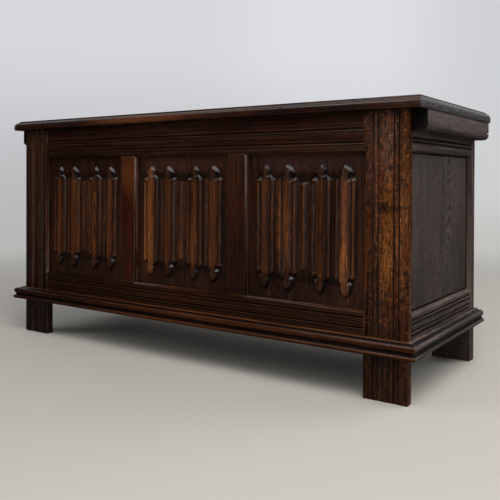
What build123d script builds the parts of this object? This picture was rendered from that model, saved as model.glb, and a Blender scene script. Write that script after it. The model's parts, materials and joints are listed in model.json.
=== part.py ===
from build123d import *
from math import atan, degrees
import os

# A framed and panelled oak coffer chest: four posts that run down to the floor as feet, three
# linenfold panels between two muntins in front, plain panels at the sides and back, a base
# moulding mitred round the front and sides, and a lid of three boards that turns on two pins.
# Millimetres, +Z up, front towards -Y. The origin is on the floor under the middle of the plan.

# Carcass
body_length = 1246.0  # over the side frames
body_depth = 465.0  # over the front and back frames
body_height = 620.0  # floor to the top of posts and rails
foot_height = 101.0  # floor to the underside of the bottom rails
frame_thickness = 22.0  # front posts, rails and muntins
back_post_thickness = 36.0
post_width = 101.0
muntin_width = 60.0
top_rail_height = 88.0
bottom_rail_height = 89.0

# Joinery
tenon_thickness = 8.0
tenon_length = 34.0  # front and back rails in the posts
side_tenon_length = 10.0  # side rails in the posts
muntin_tenon_length = 18.0
tenon_shoulder = 12.0
joint_clearance = 0.1
tongue_length = 7.0  # how far a panel enters its groove
groove_end_room = 0.8  # left at the bottom of a groove for the panel to move

# Mouldings worked on the faces of the frame
quirk_width = 1.6
quirk_depth = 2.6
bead_set_back = 0.3
post_bead_width = 10.5
post_outer_bead = 25.75  # outer edge of a post to the middle of its outer bead
post_inner_bead = 28.0  # inner edge of a post to the middle of its inner bead
post_field_crown = 1.1  # fall of the crowned field between the two beads
rail_bead_width = 7.5
top_rail_upper_bead = 40.5  # below the top of the body
top_rail_lower_bead = 70.0
side_rail_bead = 63.0
bottom_rail_lower_bead = 46.5  # above the underside of the rail
bottom_rail_upper_bead = 69.5
opening_bevel_width = 4.5
opening_bevel_depth = 6.0
arris_radius = 1.5

# Panels
linenfold_recess = 12.0  # face of the frame to the ground of the carving
linenfold_tongue = 6.0
linenfold_ground = 10.0  # thickness of the ground
plain_panel_recess = 10.0
plain_panel_thickness = 8.0
panel_back_room = 0.5

# Linenfold carving: a centre bead, and on each side two folds of a crowned strip between two beads
relief = 9.0  # ground to the crown of the strips
tip_margin = 24.0  # end of the opening to the tip of a fold
tip_rise = 45.0  # hollow between two folds to the tip of a fold
centre_bead_width = 12.0
centre_bead_height = 6.0
centre_hollow_width = 14.0
hollow_edge_height = 2.5
hollow_floor_height = 1.2
fold_bead_width = 9.0
fold_bead_height = 6.5
fold_bead_foot = 3.5
fold_quirk = 1.5  # between a bead and the strip
strip_width = 28.0
strip_edge_height = 5.5
channel_width = 12.0  # between two folds
channel_height = 1.0
fold_side_run = 3.0
neck_half_width = 14.0
tip_radius = 16.0
tip_crest_radius = 7.0
tip_fall = 0.8  # the crest of a tip lies this much under the crown of the strips
tip_facets = 12  # chisel cuts round a whole turn of a tip

# Base moulding
base_height = 35.0
base_projection = 27.0
base_bead_height = 10.0
base_quirk_height = 6.0
base_torus_height = 15.0
base_quirk_set_back = 7.0
base_torus_set_back = 2.0
base_fillet_projection = 12.0
base_top_projection = 8.0

# Floor
ledger_size = 20.0
floor_thickness = 12.0
floor_board_count = 6
floor_board_gap = 0.4
floor_room = 0.6  # between the floor and the frame around it
nail_thickness = 3.0
nail_length = 27.0
nail_head_size = 7.0
nail_head_thickness = 1.4
nail_clearance = 0.05

# Lid
lid_thickness = 28.0
lid_side_overhang = 38.0
lid_front_overhang = 15.0
lid_back_overhang = 6.0
lid_gap = 0.3  # under the closed lid
lid_step_height = 3.0
lid_step_inset = 12.0
lid_nose_low = 5.0
lid_nose_high = 9.0
lid_under_round = 4.0

# Cleats under the ends of the lid
cleat_thickness = 33.0
cleat_height = 44.0
cleat_gap = 0.8  # between a cleat and the side of the body
cleat_front_inset = 17.0
cleat_round = 13.0
split_length = 46.0  # an old split from the back end of the right cleat
split_width = 2.8

# Pin hinges
pin_radius = 6.0
pin_in_post = 40.0
pin_in_cleat = 24.0
pin_clearance = 0.05
pin_end_room = 0.6
pivot_drop = 24.0  # top of the body down to the pivot
pivot_inset = 19.0  # back of the body forward to the pivot

# Wrought nails that hold the cleats
cleat_nail_thickness = 4.0
cleat_nail_length = 61.0
cleat_nail_head_size = 10.0

# Derived places
half_length = body_length / 2
between_posts = half_length - post_width
opening_width = (2 * between_posts - 2 * muntin_width) / 3
opening_low = foot_height + bottom_rail_height
opening_high = body_height - top_rail_height
opening_middle = (opening_low + opening_high) / 2
opening_z = (opening_low, opening_high)
top_rail_z = (opening_high, body_height)
bottom_rail_z = (foot_height, opening_low)
long_rail_x = (-between_posts, between_posts)
muntin_x = (opening_width / 2, opening_width / 2 + muntin_width)
centre_opening_x = (-opening_width / 2, opening_width / 2)
right_opening_x = (muntin_x[1], between_posts)
left_opening_x = (-between_posts, -muntin_x[1])
opening_xs = {"left": left_opening_x, "centre": centre_opening_x, "right": right_opening_x}

front_reach = max(base_projection, lid_front_overhang)
front_y = front_reach - (front_reach + body_depth + lid_back_overhang) / 2
back_y = front_y + body_depth
middle_y = (front_y + back_y) / 2
side_opening_x = (frame_thickness - body_depth / 2, body_depth / 2 - back_post_thickness)

fold_width = strip_width + 2 * fold_bead_width + 2 * fold_quirk
inner_fold = centre_bead_width / 2 + centre_hollow_width
outer_fold = inner_fold + fold_width + channel_width
fold_middles = (inner_fold + fold_width / 2, outer_fold + fold_width / 2)

inner_half_length = half_length - frame_thickness
floor_low = foot_height + ledger_size
floor_board_width = 2 * inner_half_length / floor_board_count

lid_low = body_height + lid_gap
lid_half_length = half_length + lid_side_overhang
lid_front_y = front_y - lid_front_overhang
lid_back_y = back_y + lid_back_overhang
lid_board_width = (lid_back_y - lid_front_y) / 3
cleat_low = lid_low - cleat_height
cleat_inner_x = half_length + cleat_gap
cleat_y = (front_y + cleat_front_inset, lid_back_y)
pivot_y = back_y - pivot_inset
pivot_z = body_height - pivot_drop

# Each frame is drawn with its face at y = 0, its wood towards +Y and x along it, then placed.
front_place = Pos(0, front_y, 0)
back_place = Pos(0, back_y, 0) * Rot(0, 0, 180)
right_place = Pos(half_length, middle_y, 0) * Rot(0, 0, 90)


def block(x, y, z):
    """A box between three pairs of low and high values."""
    sizes = [high - low for low, high in (x, y, z)]
    centre = [(low + high) / 2 for low, high in (x, y, z)]
    return Pos(*centre) * Box(*sizes)


def grown(pair, room):
    """A low and high pair, widened at both ends."""
    return (pair[0] - room, pair[1] + room)


def mirrored(shape):
    """The same piece on the left of the chest."""
    return mirror(shape, about=Plane.YZ)


# Mouldings


def face_cut(edges, start, end):
    """A cutter along Z: a moulding's line from start to end, closed in front of the face at y = 0."""
    clear = -2.0
    first = edges[0].position_at(0).Y
    last = edges[-1].position_at(1).Y
    cap = Polyline((end, last), (end, clear), (start, clear), (start, first))
    profile = Face(Wire(edges + cap.edges()))
    return extrude(profile, amount=body_length, both=True)


def bead_cut(centre, width):
    """A cutter along Z that leaves one round bead between two quirks."""
    half = width / 2
    foot = half - quirk_width
    edges = [
        Line((centre - half, 0), (centre - foot, quirk_depth)),
        ThreePointArc((centre - foot, quirk_depth), (centre, bead_set_back), (centre + foot, quirk_depth)),
        Line((centre + foot, quirk_depth), (centre + half, 0)),
    ]
    return face_cut(edges, centre - half, centre + half)


def field_cut(start, end):
    """A cutter along Z that leaves a shallow crowned field."""
    crown = ThreePointArc((start, post_field_crown), ((start + end) / 2, 0), (end, post_field_crown))
    return face_cut([crown], start, end)


def rail_bead_cut(height):
    """A bead along a rail, at the given height."""
    return Rot(0, -90, 0) * bead_cut(height, rail_bead_width)


def bevel_cut(x, z):
    """The sloping cut round one opening, widest at the face."""
    middle = Pos((x[0] + x[1]) / 2, (z[0] + z[1]) / 2)
    width = x[1] - x[0]
    height = z[1] - z[0]
    widened = Rectangle(width + 2 * opening_bevel_width, height + 2 * opening_bevel_width)
    front = Plane.XZ * middle * widened
    back = Plane.XZ.offset(-opening_bevel_depth) * middle * Rectangle(width, height)
    return loft([front.face(), back.face()])


# Joints of the frames, drawn once and widened by their clearance for the other half


def rail_tenons(x, z, length, room=0.0):
    """The tenons at both ends of a rail that lies between x[0] and x[1]."""
    inset = (frame_thickness - tenon_thickness) / 2
    return block(
        grown(x, length + room),
        grown((inset, inset + tenon_thickness), room),
        grown(z, room - tenon_shoulder),
    )


def muntin_tenons(room=0.0):
    """The tenons at both ends of the right muntin."""
    inset = (frame_thickness - tenon_thickness) / 2
    return block(
        grown(muntin_x, room - tenon_shoulder),
        grown((inset, inset + tenon_thickness), room),
        grown(opening_z, muntin_tenon_length + room),
    )


def panel_edge(x, z, recess, thickness, room=0.0, end_room=0.0):
    """A panel's flat edge, which enters the grooves round its opening."""
    return block(
        grown(x, tongue_length + end_room),
        grown((recess, recess + thickness), room),
        grown(z, tongue_length + end_room),
    )


def linenfold_edge(x, room=0.0, end_room=0.0):
    """The edge of a carved panel."""
    return panel_edge(x, opening_z, linenfold_recess, linenfold_tongue, room, end_room)


def plain_panel(x, room=0.0, end_room=0.0):
    """A flat panel of the sides or the back."""
    return panel_edge(x, opening_z, plain_panel_recess, plain_panel_thickness, room, end_room)


def linenfold_grooves():
    """The grooves for the three front panels."""
    return [linenfold_edge(x, joint_clearance, groove_end_room) for x in opening_xs.values()]


def back_grooves():
    """The grooves for the three back panels."""
    return [plain_panel(x, joint_clearance, groove_end_room) for x in opening_xs.values()]


def side_groove():
    """The groove for a side panel."""
    return plain_panel(side_opening_x, joint_clearance, groove_end_room)


def rail(x, z, length, bead_heights):
    """A rail with its tenons and the beads along its face."""
    board = block(x, (0, frame_thickness), z)
    for height in bead_heights:
        board -= rail_bead_cut(height)
    return board + rail_tenons(x, z, length)


def rear_round_cut():
    """What is taken off the top back edge, so that the lid's underside can turn past it."""
    corner = block(
        (-body_length, body_length), (pivot_y, back_y + pivot_drop), (pivot_z, body_height + pivot_drop)
    )
    return corner - Pos(0, pivot_y, pivot_z) * Rot(0, 90, 0) * Cylinder(pivot_drop, 3 * body_length)


# Front frame


def front_top_rail():
    beads = (body_height - top_rail_upper_bead, body_height - top_rail_lower_bead)
    board = rail(long_rail_x, top_rail_z, tenon_length, beads)
    for x in opening_xs.values():
        board -= bevel_cut(x, opening_z)
    right_mortise = muntin_tenons(joint_clearance)
    return front_place * (board - linenfold_grooves() - right_mortise - mirrored(right_mortise))


def front_bottom_rail():
    beads = (foot_height + bottom_rail_lower_bead, foot_height + bottom_rail_upper_bead)
    board = rail(long_rail_x, bottom_rail_z, tenon_length, beads)
    for x in opening_xs.values():
        board -= bevel_cut(x, opening_z)
    right_mortise = muntin_tenons(joint_clearance)
    return front_place * (board - linenfold_grooves() - right_mortise - mirrored(right_mortise))


def front_muntin():
    board = block(muntin_x, (0, frame_thickness), opening_z)
    for x in (centre_opening_x, right_opening_x):
        board -= bevel_cut(x, opening_z)
    return front_place * (board + muntin_tenons() - linenfold_grooves())


def front_post():
    """The right front post: a board with two beads and a crowned field over its full height."""
    outer = half_length - post_outer_bead
    inner = between_posts + post_inner_bead
    half_bead = post_bead_width / 2
    board = block((between_posts, half_length), (0, frame_thickness), (0, body_height))
    board = fillet(board.edges().filter_by(Axis.Z).group_by(Axis.Y)[0].sort_by(Axis.X)[-1], arris_radius)
    board -= bead_cut(outer, post_bead_width)
    board -= bead_cut(inner, post_bead_width)
    board -= field_cut(inner + half_bead, outer - half_bead)
    board -= bevel_cut(right_opening_x, opening_z)
    board -= linenfold_grooves()
    for z in (top_rail_z, bottom_rail_z):
        board -= rail_tenons(long_rail_x, z, tenon_length, joint_clearance)
    return front_place * board - side_joints()


def side_joints():
    """The mortises and the groove that the right side frame needs in its two posts."""
    cuts = side_groove()
    for z in (top_rail_z, bottom_rail_z):
        cuts += rail_tenons(side_opening_x, z, side_tenon_length, joint_clearance)
    return right_place * cuts


# Linenfold panels


def crowned(start, end, height, edge_height):
    """An arc from start to end that rises from its edge height to its crown."""
    return ThreePointArc((start, edge_height), ((start + end) / 2, height), (end, edge_height))


def fold_edges(start):
    """One fold's section: a bead, the crowned strip and another bead, with quirks between them."""
    first_bead_end = start + fold_bead_width
    strip_start = first_bead_end + fold_quirk
    strip_end = strip_start + strip_width
    last_bead = strip_end + fold_quirk
    return [
        crowned(start, first_bead_end, fold_bead_height, fold_bead_foot),
        Line((first_bead_end, fold_bead_foot), (strip_start, strip_edge_height)),
        crowned(strip_start, strip_end, relief, strip_edge_height),
        Line((strip_end, strip_edge_height), (last_bead, fold_bead_foot)),
        crowned(last_bead, last_bead + fold_bead_width, fold_bead_height, fold_bead_foot),
    ]


def relief_profile():
    """Half of the carving's section, from the middle of the panel outwards."""
    centre_bead = centre_bead_width / 2
    channel_start = inner_fold + fold_width
    field_end = outer_fold + fold_width + fold_side_run
    edges = [
        TangentArc((0, centre_bead_height), (centre_bead, hollow_edge_height), tangent=(1, 0)),
        crowned(centre_bead, inner_fold, hollow_floor_height, hollow_edge_height),
        Line((inner_fold, hollow_edge_height), (inner_fold, fold_bead_foot)),
    ]
    edges += fold_edges(inner_fold)
    edges += Polyline(
        (channel_start, fold_bead_foot), (channel_start + fold_side_run, channel_height),
        (outer_fold - fold_side_run, channel_height), (outer_fold, fold_bead_foot),
    ).edges()
    edges += fold_edges(outer_fold)
    edges += Polyline(
        (field_end - fold_side_run, fold_bead_foot), (field_end, 0), (field_end, -1), (0, -1),
        (0, centre_bead_height),
    ).edges()
    return Face(Wire(edges))


def fold_tip():
    """A fold's neck and its end, rounded in flat cuts; z is measured from the foot of the neck."""
    height = relief - tip_fall
    neck = Polyline(
        (-neck_half_width, -1), (neck_half_width, -1), (neck_half_width, 0), (tip_crest_radius, height),
        (-tip_crest_radius, height), (-neck_half_width, 0), close=True,
    )
    length = tip_rise - tip_radius
    bar = extrude(Face(Wire(neck.edges())), amount=length)
    slope = degrees(atan((tip_radius - tip_crest_radius) / height))
    head = extrude(RegularPolygon(tip_radius, tip_facets), amount=height, taper=slope)
    return bar + Pos(0, 0, length) * Rot(-90, 0, 0) * head


def scoop(x, radius, height):
    """A round hollow that ends the folds between two tips."""
    return Pos(x, 0, height + radius) * Rot(-90, 0, 0) * Cylinder(radius, 4 * relief)


def linenfold_carving():
    """The carving of one panel, with its ground at y = 0 and its crests towards +Y."""
    scoop_bottom = (opening_high - opening_low) / 2 - tip_margin - tip_rise
    between = (fold_middles[1] - fold_middles[0]) / 2
    side_radius = between - neck_half_width
    fold_half = scoop_bottom + side_radius
    folds = extrude(relief_profile(), amount=fold_half, both=True)
    folds -= scoop(0, fold_middles[0] - neck_half_width, scoop_bottom)
    for x in fold_middles:
        folds -= scoop(x + between, side_radius, scoop_bottom)
    tip = Pos(0, 0, scoop_bottom) * fold_tip()
    upper = folds & block((-1, opening_width), (-1, 2 * relief), (0, fold_half - side_radius / 2))
    for x in fold_middles:
        upper += Pos(x, 0, 0) * tip
    half = upper + mirror(upper, about=Plane.XY)
    return half + mirrored(half)


def linenfold_panels():
    carving = linenfold_carving()
    panels = {}
    for name, x in opening_xs.items():
        edge = linenfold_edge(x)
        field = block(
            grown(x, -panel_back_room),
            (linenfold_recess, linenfold_recess + linenfold_ground),
            grown(opening_z, -panel_back_room),
        )
        middle = Pos((x[0] + x[1]) / 2, linenfold_recess, opening_middle)
        panels["linenfold_panel_" + name] = front_place * (edge + field + middle * Rot(0, 0, 180) * carving)
    return panels


# Side frames


def side_rail(z, bead_heights):
    """A right side rail; its face is flush with the edges of the posts."""
    board = rail(side_opening_x, z, side_tenon_length, bead_heights)
    board -= bevel_cut(side_opening_x, opening_z)
    return right_place * (board - side_groove())


def side_top_rail():
    return side_rail(top_rail_z, (body_height - side_rail_bead,))


def side_bottom_rail():
    beads = (foot_height + bottom_rail_lower_bead, foot_height + bottom_rail_upper_bead)
    return side_rail(bottom_rail_z, beads)


def side_panel():
    return right_place * plain_panel(side_opening_x)


# Back frame


def back_post():
    """The right back post, seen from the front. Its front arris is bevelled along the side opening."""
    y = (back_y - back_post_thickness, back_y)
    board = block((between_posts, half_length), y, (0, body_height))
    outer_edges = board.edges().filter_by(Axis.Z).group_by(Axis.X)[-1]
    board = fillet(outer_edges.sort_by(Axis.Y)[-1], arris_radius)
    grooves = back_grooves()
    for z in (top_rail_z, bottom_rail_z):
        grooves.append(rail_tenons(long_rail_x, z, tenon_length, joint_clearance))
    for cut in grooves:
        board -= back_place * cut
    board -= side_joints()
    board -= right_place * bevel_cut(side_opening_x, opening_z)
    return board - rear_round_cut() - pin(pin_clearance)


def back_rail(z):
    board = rail(long_rail_x, z, tenon_length, ())
    right_mortise = muntin_tenons(joint_clearance)
    return back_place * (board - back_grooves() - right_mortise - mirrored(right_mortise))


def back_muntin():
    """The back muntin on the right of the chest, which is the left one of the turned back frame."""
    board = block(muntin_x, (0, frame_thickness), opening_z)
    return back_place * mirrored(board + muntin_tenons() - back_grooves())


def back_panels():
    """Plain panels, named by their side of the chest as seen from the front."""
    return {
        "back_panel_" + name: back_place * mirrored(plain_panel(x)) for name, x in opening_xs.items()
    }


# Base moulding


def base_profile():
    """The moulding's section: projection outwards, then height above the foot."""
    bead = base_bead_height
    quirk = bead + base_quirk_height
    torus = quirk + base_torus_height
    top = base_height
    bead_in = base_projection - bead / 2
    quirk_in = base_projection - base_quirk_set_back
    torus_out = base_projection - base_torus_set_back
    torus_in = torus_out - base_torus_height / 2
    edges = [
        Line((0, 0), (bead_in, 0)),
        ThreePointArc((bead_in, 0), (base_projection, bead / 2), (bead_in, bead)),
        Line((bead_in, bead), (quirk_in, quirk)),
        ThreePointArc((quirk_in, quirk), (torus_out, (quirk + torus) / 2), (torus_in, torus)),
        Line((torus_in, torus), (base_fillet_projection, torus)),
        Line((base_fillet_projection, torus), (base_top_projection, top)),
        Line((base_top_projection, top), (0, top)),
        Line((0, top), (0, 0)),
    ]
    return Face(Wire(edges))


def front_base_moulding():
    section = Plane(origin=(0, front_y, foot_height), x_dir=(0, -1, 0), z_dir=(-1, 0, 0))
    long = half_length + base_projection
    bar = extrude(section * base_profile(), amount=long, both=True)
    plan = Polyline(
        (-half_length, front_y), (half_length, front_y), (long, front_y - base_projection),
        (-long, front_y - base_projection), close=True,
    )
    return bar & extrude(Face(Wire(plan.edges())), amount=body_height, both=True)


def side_base_moulding():
    section = Plane(origin=(half_length, middle_y, foot_height), x_dir=(1, 0, 0), z_dir=(0, -1, 0))
    bar = extrude(section * base_profile(), amount=body_depth, both=True)
    plan = Polyline(
        (half_length, front_y), (half_length, back_y), (half_length + base_projection, back_y),
        (half_length + base_projection, front_y - base_projection), close=True,
    )
    return bar & extrude(Face(Wire(plan.edges())), amount=body_height, both=True)


# Floor


def ledger(x, y):
    return cut_nail_holes(block(x, y, (foot_height, floor_low)))


def front_ledger():
    y = front_y + frame_thickness
    return ledger((-inner_half_length, inner_half_length), (y, y + ledger_size))


def back_ledger():
    y = back_y - frame_thickness
    return ledger(long_rail_x, (y - ledger_size, y))


def nail_places():
    """One nail at each end of each floor board, over the middle of the ledgers."""
    front = front_y + frame_thickness + ledger_size / 2
    back = back_y - frame_thickness - ledger_size / 2
    reach = between_posts - nail_head_size
    places = []
    for number in range(floor_board_count):
        middle = -inner_half_length + (number + 0.5) * floor_board_width
        x = min(max(middle, -reach), reach)
        places += [(x, front), (x, back)]
    return places


def nail(room=0.0):
    """A cut nail with its head on the floor board."""
    top = floor_low + floor_thickness
    half = nail_thickness / 2 + room
    shank = block((-half, half), (-half, half), (top - nail_length - room, top))
    head_half = nail_head_size / 2
    return shank + block((-head_half, head_half), (-head_half, head_half), (top, top + nail_head_thickness))


def cut_nail_holes(board):
    hole = nail(nail_clearance)
    for x, y in nail_places():
        board -= Pos(x, y, 0) * hole
    return board


def floor_nails():
    return Compound([Pos(x, y, 0) * nail() for x, y in nail_places()])


def floor_boards():
    """Boards that run from front to back; the end ones are notched round the back posts."""
    y = (front_y + frame_thickness + floor_room, back_y - frame_thickness - floor_room)
    z = (floor_low, floor_low + floor_thickness)
    post_y = (back_y - back_post_thickness - floor_room, back_y)
    right_post = block((between_posts - floor_room, half_length), post_y, (0, body_height))
    boards = {}
    for number in range(floor_board_count):
        start = -inner_half_length + number * floor_board_width
        board = block(grown((start, start + floor_board_width), -floor_board_gap / 2), y, z)
        board = board - right_post - mirrored(right_post)
        boards[f"floor_board_{number + 1}"] = cut_nail_holes(board)
    return boards


# Lid


def lid_edge_waste():
    """What is planed off an edge of the lid: x inwards from the nose, y up from the underside."""
    clear = 2.0
    top = lid_thickness - lid_step_height
    rise = top - lid_nose_high
    corner = 1 - 0.5**0.5  # where a quarter-round's middle lies, as a share of its sides
    bulge = (lid_step_inset * corner, lid_nose_high + rise * (1 - corner))
    under = (lid_under_round * corner, lid_nose_low * corner)
    edges = [
        ThreePointArc((lid_under_round, 0), under, (0, lid_nose_low)),
        Line((0, lid_nose_low), (0, lid_nose_high)),
        ThreePointArc((0, lid_nose_high), bulge, (lid_step_inset, top)),
    ]
    edges += Polyline(
        (lid_step_inset, top), (lid_step_inset, lid_thickness + clear), (-clear, lid_thickness + clear),
        (-clear, -clear), (lid_under_round, -clear), (lid_under_round, 0),
    ).edges()
    return Face(Wire(edges))


def lid_boards():
    """Three boards glued edge to edge, then moulded along the front and both ends."""
    front_plane = Plane(origin=(0, lid_front_y, lid_low), x_dir=(0, 1, 0), z_dir=(1, 0, 0))
    end_plane = Plane(origin=(lid_half_length, middle_y, lid_low), x_dir=(-1, 0, 0), z_dir=(0, 1, 0))
    front_waste = extrude(front_plane * lid_edge_waste(), amount=body_length, both=True)
    end_waste = extrude(end_plane * lid_edge_waste(), amount=body_length, both=True)
    boards = {}
    for number, name in enumerate(("front", "middle", "back")):
        start = lid_front_y + number * lid_board_width
        y = (start, start + lid_board_width)
        board = block((-lid_half_length, lid_half_length), y, (lid_low, lid_low + lid_thickness))
        board -= end_waste
        board -= mirrored(end_waste)
        if number == 0:
            board -= front_waste
        boards["lid_" + name + "_board"] = cut_cleat_nail_holes(board)
    return boards


def cleat():
    """The right cleat: a bar with its lower outer edge rounded, bored for the pin from inside."""
    outer_x = cleat_inner_x + cleat_thickness
    low = cleat_low
    bend = cleat_round * (1 - 0.5**0.5)
    outline = Polyline(
        (outer_x, low + cleat_round), (outer_x, lid_low), (cleat_inner_x, lid_low), (cleat_inner_x, low),
        (outer_x - cleat_round, low),
    ).edges()
    round_middle = (outer_x - bend, low + bend)
    outline.append(ThreePointArc((outer_x - cleat_round, low), round_middle, (outer_x, low + cleat_round)))
    section = Plane(origin=(0, cleat_y[0], 0), x_dir=(1, 0, 0), z_dir=(0, -1, 0))
    bar = extrude(section * Face(Wire(outline)), amount=cleat_y[0] - cleat_y[1])
    return cut_cleat_nail_holes(bar - pin(pin_clearance, pin_end_room))


def split():
    """The wedge-shaped opening of the split, which starts at the pin and widens to the back end."""
    height = pivot_z - pin_radius / 2
    wedge = Polyline(
        (cleat_y[1] + 1, height - split_width / 2), (cleat_y[1] + 1, height + split_width / 2),
        (cleat_y[1] - split_length, height + split_width), close=True,
    )
    plane = Plane(origin=(cleat_inner_x - 1, 0, 0), x_dir=(0, 1, 0), z_dir=(1, 0, 0))
    return extrude(plane * Face(Wire(wedge.edges())), amount=cleat_thickness + 2)


def pin(room=0.0, end_room=0.0):
    """The right hinge pin, driven into the back post; the cleat turns on it."""
    start = half_length - pin_in_post - end_room
    end = cleat_inner_x + pin_in_cleat + end_room
    rod = Rot(0, 90, 0) * Cylinder(pin_radius + room, end - start)
    return Pos((start + end) / 2, pivot_y, pivot_z) * rod


def cleat_nail(room=0.0):
    """A wrought nail driven up through a cleat into the lid, with its head let into the cleat."""
    low = cleat_low
    half = cleat_nail_thickness / 2 + room
    head_half = cleat_nail_head_size / 2 + room
    head_z = (low - room, low + nail_head_thickness + room)
    shank = block((-half, half), (-half, half), (low, low + cleat_nail_length + room))
    return shank + block((-head_half, head_half), (-head_half, head_half), head_z)


def cleat_nail_places():
    """One nail in the middle of each lid board, at both ends of the lid."""
    x = cleat_inner_x + (cleat_thickness - cleat_round) / 2
    ys = [lid_front_y + (number + 0.5) * lid_board_width for number in range(3)]
    return [(side * x, y) for side in (-1, 1) for y in ys]


def cut_cleat_nail_holes(board):
    hole = cleat_nail(nail_clearance)
    box = board.bounding_box()
    for x, y in cleat_nail_places():
        if box.min.X < x < box.max.X and box.min.Y < y < box.max.Y:
            board -= Pos(x, y, 0) * hole
    return board


def cleat_nails():
    return Compound([Pos(x, y, 0) * cleat_nail() for x, y in cleat_nail_places()])


def pair(name, right_piece):
    """A piece on the right of the chest and its mirror image on the left."""
    return {name.format(side="right"): right_piece, name.format(side="left"): mirrored(right_piece)}


parts = {}
parts.update(pair("front_{side}_post", front_post()))
parts.update(pair("back_{side}_post", back_post()))
parts["front_top_rail"] = front_top_rail()
parts["front_bottom_rail"] = front_bottom_rail()
parts.update(pair("front_{side}_muntin", front_muntin()))
parts.update(linenfold_panels())
parts.update(pair("{side}_top_rail", side_top_rail()))
parts.update(pair("{side}_bottom_rail", side_bottom_rail()))
parts.update(pair("{side}_side_panel", side_panel()))
parts["back_top_rail"] = back_rail(top_rail_z) - rear_round_cut()
parts["back_bottom_rail"] = back_rail(bottom_rail_z)
parts.update(pair("back_{side}_muntin", back_muntin()))
parts.update(back_panels())
parts["front_base_moulding"] = front_base_moulding()
parts.update(pair("{side}_base_moulding", side_base_moulding()))
parts["front_ledger"] = front_ledger()
parts["back_ledger"] = back_ledger()
parts.update(floor_boards())
parts["floor_nails"] = floor_nails()
parts.update(pair("{side}_hinge_pin", pin()))
parts.update(lid_boards())
right_cleat = cleat()
parts["left_cleat"] = mirrored(right_cleat)
parts["right_cleat"] = right_cleat - split()
parts["cleat_nails"] = cleat_nails()

os.makedirs("parts", exist_ok=True)
for node, shape in parts.items():
    export_step(shape, f"parts/{node}.step")
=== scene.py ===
import json
import math

import bmesh
import bpy
import numpy as np
from mathutils import Matrix, Vector


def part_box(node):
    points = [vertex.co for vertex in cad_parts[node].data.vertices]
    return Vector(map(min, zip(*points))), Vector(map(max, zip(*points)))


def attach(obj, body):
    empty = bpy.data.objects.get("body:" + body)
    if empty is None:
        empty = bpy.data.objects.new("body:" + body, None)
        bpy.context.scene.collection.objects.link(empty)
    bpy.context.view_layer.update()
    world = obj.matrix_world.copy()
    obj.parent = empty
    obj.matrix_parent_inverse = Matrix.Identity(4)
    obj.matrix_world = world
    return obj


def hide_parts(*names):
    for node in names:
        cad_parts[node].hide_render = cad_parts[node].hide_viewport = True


# A joined oak coffer: dark stained and waxed boards, with the finish rubbed through to a warm brown
# where hands and dusters reach. Metres throughout, +Z up, and the front faces -Y.

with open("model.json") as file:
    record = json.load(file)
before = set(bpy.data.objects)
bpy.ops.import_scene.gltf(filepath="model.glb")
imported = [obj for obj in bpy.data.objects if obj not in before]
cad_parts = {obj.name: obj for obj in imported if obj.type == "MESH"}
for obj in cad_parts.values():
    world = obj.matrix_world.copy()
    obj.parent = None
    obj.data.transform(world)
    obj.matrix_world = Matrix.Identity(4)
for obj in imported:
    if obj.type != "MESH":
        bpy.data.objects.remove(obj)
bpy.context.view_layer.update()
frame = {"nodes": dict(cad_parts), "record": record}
nodes = frame["nodes"]
scene = bpy.context.scene
print("frame loaded:", len(nodes), "nodes")


# Colours

def linear(red, green, blue):
    # display values from 0 to 255 turned into light, by the display's own curve
    values = np.array([red, green, blue]) / 255
    light = np.where(values <= 0.04045, values / 12.92, ((values + 0.055) / 1.055) ** 2.4)
    return (*map(float, light), 1.0)


def toned(colour, factor):
    # the same colour lighter or darker
    return linear(*(factor * np.array(colour)))


# Shader formulas

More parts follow.
